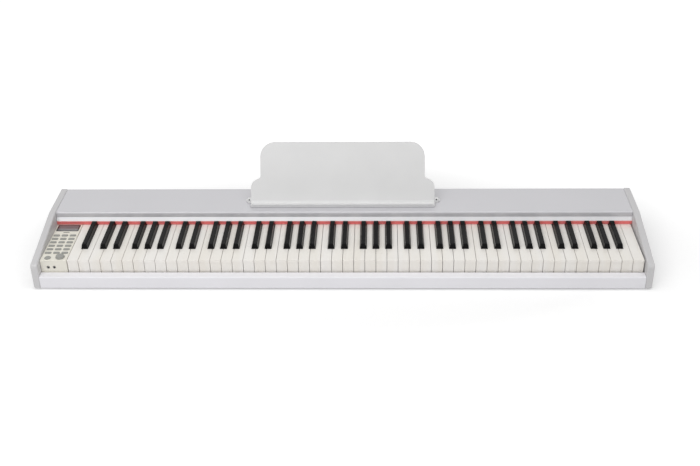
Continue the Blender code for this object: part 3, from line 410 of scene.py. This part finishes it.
def displayLook():
    look = Look("displayGlass", Roughness=display["roughness"], IOR=1.5)
    look.set(Coat_Weight=display["coat"], Coat_Roughness=display["coatRoughness"])
    low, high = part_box("display_window")
    middle = (low + high) / 2
    inset = display["frameWidth"]
    offX = (look.axis("X") - middle.x).size() > (high.x - low.x) / 2 - inset
    offY = (look.axis("Y") - middle.y).size() > (high.y - low.y) / 2 - inset
    edge = offX.maths("MAXIMUM", offY)
    cells = look.noise(display["cellScale"], 1.0) * display["cellShare"]
    glow = screenColour(*display["glow"])
    lit = look.mix(cells, glow, darker(glow, display["cellShade"]))
    return look.set(Base_Color=look.mix(edge, lit, screenColour(*display["frame"])))


circuit = {
    "board": (30, 74, 50),
    "lines": (48, 104, 70),
    "lineScale": 180.0,
    "lineRange": (0.48, 0.52),
    "part": (36, 36, 38),
    "drop": 7.3 * mm,  # what stands less than this below the panel's top is a part on the board
    "roughness": 0.4,
    "coat": 0.4,
}


def circuitLook():
    look = Look("circuitBoard", Roughness=circuit["roughness"], Coat_Weight=circuit["coat"])
    lines = look.noise(circuit["lineScale"], 1.0).within(*circuit["lineRange"])
    board = look.mix(lines, screenColour(*circuit["board"]), screenColour(*circuit["lines"]))
    part = look.axis("Z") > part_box("control_panel")[1].z - circuit["drop"]
    return look.set(Base_Color=look.mix(part, board, screenColour(*circuit["part"])))


deckLacquer = {"weight": 1.0, "roughness": 0.14}


def makeLooks():
    # the cabinet's paint comes in shaded and lit copies, as painted shade and painted light
    looks = {key: painted(*values) for key, values in litAndShadedPaints.items()}
    looks.update({key: moulded(*values) for key, values in mouldings.items()})
    looks.update({key: brushedMetal(*values) for key, values in metals.items()})
    looks["deck"].set(
        Coat_Weight=deckLacquer["weight"], Coat_Roughness=deckLacquer["roughness"]
    )
    looks["felt"] = feltLook()
    looks["rail"] = railLook()
    looks["panel"] = panelLook()
    looks["whiteKey"] = whiteKeyLook()
    looks["blackKey"] = blackKeyLook()
    looks["display"] = displayLook()
    looks["circuit"] = circuitLook()
    print("looks made:", len(looks))
    return looks


nodeLooks = {
    "deck": ("top_board",),
    "cheek": ("left_cheek", "right_cheek"),
    "slip": ("key_slip",),
    "board": ("bottom_board", "rear_board"),
    "rail": ("fall_rail",),
    "panel": ("control_panel",),
    "stand": ("music_stand", "left_stand_bracket", "right_stand_bracket"),
    "button": (
        "left_button_strip",
        "middle_button_strip",
        "right_button_strip",
        "round_button",
        "volume_knob",
    ),
    "dark": ("phone_jack_block", "rear_connector_plate", "left_speaker", "right_speaker"),
    "rubber": ("front_left_foot", "front_right_foot", "rear_left_foot", "rear_right_foot"),
    "tray": ("key_bed",),
    "felt": ("key_felt",),
    "display": ("display_window",),
    "circuit": ("main_circuit_board",),
    "steel": ("left_stand_pin", "right_stand_pin"),
}


def lookOf(name, looks):
    for look, nodes in nodeLooks.items():
        if name in nodes:
            return looks[look]
    isBlack = "sharp" in name or name.startswith("black")
    return looks["blackKey" if isBlack else "whiteKey"]


def dressNodes(looks):
    for name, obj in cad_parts.items():
        obj.data.materials.clear()
        obj.data.materials.append(lookOf(name, looks).material)
    print("nodes dressed:", len(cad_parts))


# Repeated small pieces, by Geometry Nodes

sharpAngle = radians(35)


class Tree:
    def __init__(self, name, **sizes):
        self.group = bpy.data.node_groups.new(name, "GeometryNodeTree")
        face = self.group.interface
        face.new_socket("Geometry", in_out="INPUT", socket_type="NodeSocketGeometry")
        self.sizes = {
            size: face.new_socket(size, in_out="INPUT", socket_type="NodeSocketFloat")
            for size in sizes
        }
        face.new_socket("Geometry", in_out="OUTPUT", socket_type="NodeSocketGeometry")
        self.values = sizes
        self.start = self.group.nodes.new("NodeGroupInput")

    def make(self, kind, settings=None, values=None, out=0):
        node = self.group.nodes.new(kind)
        for name, value in (settings or {}).items():
            setattr(node, name, value)
        for key, value in (values or {}).items():
            if isinstance(value, bpy.types.NodeSocket):
                self.group.links.new(value, node.inputs[key])
            else:
                node.inputs[key].default_value = value
        return node.outputs[out]

    def size(self, name):
        return self.start.outputs[name]

    def end(self, shape, look):  # one shape at each point
        values = {"Points": self.start.outputs[0], "Instance": shape}
        spots = self.make("GeometryNodeInstanceOnPoints", None, values)
        whole = self.make("GeometryNodeRealizeInstances", None, {0: spots})
        values = {0: whole, "Material": look.material}
        coated = self.make("GeometryNodeSetMaterial", None, values)
        finish = self.group.nodes.new("NodeGroupOutput")
        self.group.links.new(coated, finish.inputs[0])

    def grow(self, name, points):
        mesh = bpy.data.meshes.new(name)
        mesh.from_pydata(points, [], [])
        piece = bpy.data.objects.new(name, mesh)
        bpy.context.collection.objects.link(piece)
        modifier = piece.modifiers.new("grow", "NODES")
        modifier.node_group = self.group
        for size, socket in self.sizes.items():
            modifier[socket.identifier] = self.values[size]
        bpy.context.view_layer.update()
        evaluated = piece.evaluated_get(bpy.context.evaluated_depsgraph_get())
        grown = bpy.data.meshes.new_from_object(evaluated)
        piece.modifiers.clear()
        piece.data = grown
        grown.shade_smooth()
        grown.set_sharp_from_angle(angle=sharpAngle)
        return piece


screws = {
    "radius": 1.75 * mm,
    "height": 0.6 * mm,
    "slotWidth": 0.55 * mm,
    "slotDepth": 0.5 * mm,
    "slotReach": 1.3,  # the cross slot's length, in radii
    "sides": 24,
}


def screwTree(look, tilt):
    tree = Tree(
        "screwHeads",
        radius=screws["radius"],
        height=screws["height"],
        slotWidth=screws["slotWidth"],
        slotDepth=screws["slotDepth"],
    )
    radius, height = tree.size("radius"), tree.size("height")
    values = {"Vertices": screws["sides"], "Radius": radius, "Depth": height}
    head = tree.make("GeometryNodeMeshCylinder", None, values)
    times = {"operation": "MULTIPLY"}
    thin = tree.size("slotWidth")
    wide = tree.make("ShaderNodeMath", times, {0: radius, 1: screws["slotReach"]})
    up = tree.make("ShaderNodeMath", times, {0: height, 1: 0.5})
    lift = tree.make("ShaderNodeCombineXYZ", None, {2: up})
    for first, second in ((wide, thin), (thin, wide)):
        values = {0: first, 1: second, 2: tree.size("slotDepth")}
        size = tree.make("ShaderNodeCombineXYZ", None, values)
        bar = tree.make("GeometryNodeMeshCube", None, {"Size": size})
        cutter = tree.make("GeometryNodeTransform", None, {0: bar, "Translation": lift})
        settings = {"operation": "DIFFERENCE", "solver": "EXACT"}
        values = {"Mesh 1": head, "Mesh 2": cutter}
        head = tree.make("GeometryNodeMeshBoolean", settings, values)
    tree.end(tree.make("GeometryNodeTransform", None, {0: head, "Rotation": tilt}), look)
    return tree


hingeScrews = {
    "reach": 210.6 * mm,  # from the middle, left and right
    "eye": 5.45 * mm,  # from the pin's axis to the front of its eye
    "tilt": radians(28),
}
rearScrews = {"columns": 9, "inset": 30 * mm, "edge": 5 * mm, "proud": 0.1 * mm}


def makeScrews(looks):
    tilt, eye = hingeScrews["tilt"], hingeScrews["eye"]
    frontTree = screwTree(looks["screw"], (pi / 2 - tilt, 0, 0))
    low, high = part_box("left_stand_pin")
    y = (low.y + high.y) / 2 - eye * cos(tilt)
    z = (low.z + high.z) / 2 + eye * sin(tilt)
    fronts = [(side * hingeScrews["reach"], y, z) for side in (-1, 1)]
    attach(frontTree.grow("hingeScrews", fronts), "cabinet")
    rearTree = screwTree(looks["screw"], (-pi / 2, 0, 0))
    low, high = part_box("rear_board")
    inset, edge = rearScrews["inset"], rearScrews["edge"]
    pitch = (high.x - low.x - 2 * inset) / (rearScrews["columns"] - 1)
    backs = [
        (low.x + inset + pitch * column, high.y + rearScrews["proud"], z)
        for column in range(rearScrews["columns"])
        for z in (low.z + edge, high.z - edge)
    ]
    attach(rearTree.grow("rearScrews", backs), "cabinet")
    print("screws made:", len(fronts) + len(backs))


rings = {
    "jackRadius": 2.35 * mm,
    "pedalRadius": 3.75 * mm,
    "thickness": 0.35 * mm,
    "jackDrop": 16.8 * mm,  # below the panel's top
    "jackPlaces": (-12.2 * mm, 0.8 * mm),  # across, from the panel's middle
    "pathSteps": 32,
    "profileSteps": 8,
}


def ringTree(look, radius):
    tree = Tree("socketRings", radius=radius, thickness=rings["thickness"])
    circle = "GeometryNodeCurvePrimitiveCircle"
    values = {"Resolution": rings["pathSteps"], "Radius": tree.size("radius")}
    path = tree.make(circle, None, values)
    values = {"Resolution": rings["profileSteps"], "Radius": tree.size("thickness")}
    profile = tree.make(circle, None, values)
    values = {"Curve": path, "Profile Curve": profile}
    ring = tree.make("GeometryNodeCurveToMesh", None, values)
    values = {0: ring, "Rotation": (pi / 2, 0, 0)}
    tree.end(tree.make("GeometryNodeTransform", None, values), look)
    return tree


def makeRings(looks):
    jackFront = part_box("phone_jack_block")[0].y
    low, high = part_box("control_panel")
    middle, z = (low.x + high.x) / 2, high.z - rings["jackDrop"]
    tree = ringTree(looks["ring"], rings["jackRadius"])
    jacks = tree.grow("jackRings", [(middle + x, jackFront, z) for x in rings["jackPlaces"]])
    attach(jacks, "cabinet")
    low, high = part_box("rear_connector_plate")
    tree = ringTree(looks["ring"], rings["pedalRadius"])
    pedal = tree.grow("pedalRing", [((low.x + high.x) / 2, high.y, (low.z + high.z) / 2)])
    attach(pedal, "cabinet")
    print("socket rings made:", len(rings["jackPlaces"]) + 1)


# Floor and world

room = {
    "worldLight": 0.42,
    "floorShade": 0.88,
    "floorSide": 14.0,
    "liftNear": 0.2,  # the floor's own glow to the eye, under the object
    "liftFar": 0.58,  # and away from it
    "liftRange": (0.62, 1.3),  # distances between which it grows
    "liftShape": (1, 2.2, 1),  # it grows sooner to the back and front than to the sides
}


def makeFloor():
    side = room["floorSide"] / 2
    corners = [(-side, -side, 0), (side, -side, 0), (side, side, 0), (-side, side, 0)]
    mesh = bpy.data.meshes.new("floor")
    mesh.from_pydata(corners, [], [(0, 1, 2, 3)])
    floor = bpy.data.objects.new("floor", mesh)
    bpy.context.collection.objects.link(floor)
    look = Look("floorPaper")
    rays = [
        look.make("ShaderNodeLightPath", out=f"Is {kind} Ray")
        for kind in ("Camera", "Glossy", "Transmission")
    ]
    seen = rays[0].maths("MAXIMUM", rays[1]).maths("MAXIMUM", rays[2])
    values = {"Vector": look.place(), "Scale": room["liftShape"]}
    spread = look.make("ShaderNodeMapping", None, values)
    away = look.make("ShaderNodeVectorMath", {"operation": "LENGTH"}, {0: spread}, out="Value")
    growth = room["liftFar"] - room["liftNear"]
    lifted = room["liftNear"] + away.within(*room["liftRange"]) * growth
    shade = (room["floorShade"],) * 3
    plain = look.make("ShaderNodeBsdfDiffuse", None, {"Color": shade})
    values = {"Color": (1, 1, 1), "Strength": seen * lifted}
    lift = look.make("ShaderNodeEmission", None, values)
    both = look.make("ShaderNodeAddShader", None, {0: plain, 1: lift})
    look.tree.links.new(both.socket, look.tree.nodes["Material Output"].inputs["Surface"])
    mesh.materials.append(look.material)
    print("floor laid")


def makeWorld():
    world = bpy.data.worlds.new("room")
    bpy.context.scene.world = world
    world.use_nodes = True
    nodes = world.node_tree.nodes
    links = world.node_tree.links
    background = nodes["Background"]
    rays = nodes.new("ShaderNodeLightPath")
    seen = nodes.new("ShaderNodeMath")
    seen.operation = "MAXIMUM"
    links.new(rays.outputs["Is Camera Ray"], seen.inputs[0])
    links.new(rays.outputs["Is Glossy Ray"], seen.inputs[1])
    strength = nodes.new("ShaderNodeMapRange")
    strength.inputs["To Min"].default_value = room["worldLight"]
    strength.inputs["To Max"].default_value = 1.0
    links.new(seen.outputs[0], strength.inputs["Value"])
    links.new(strength.outputs[0], background.inputs["Strength"])
    background.inputs["Color"].default_value = (1, 1, 1, 1)
    print("world lit")


def main():
    makeCamera()
    makeLamps()
    makeFloor()
    makeWorld()
    looks = makeLooks()
    dressNodes(looks)
    makeScrews(looks)
    makeRings(looks)
    bpy.context.scene.view_settings.view_transform = "Standard"


main()
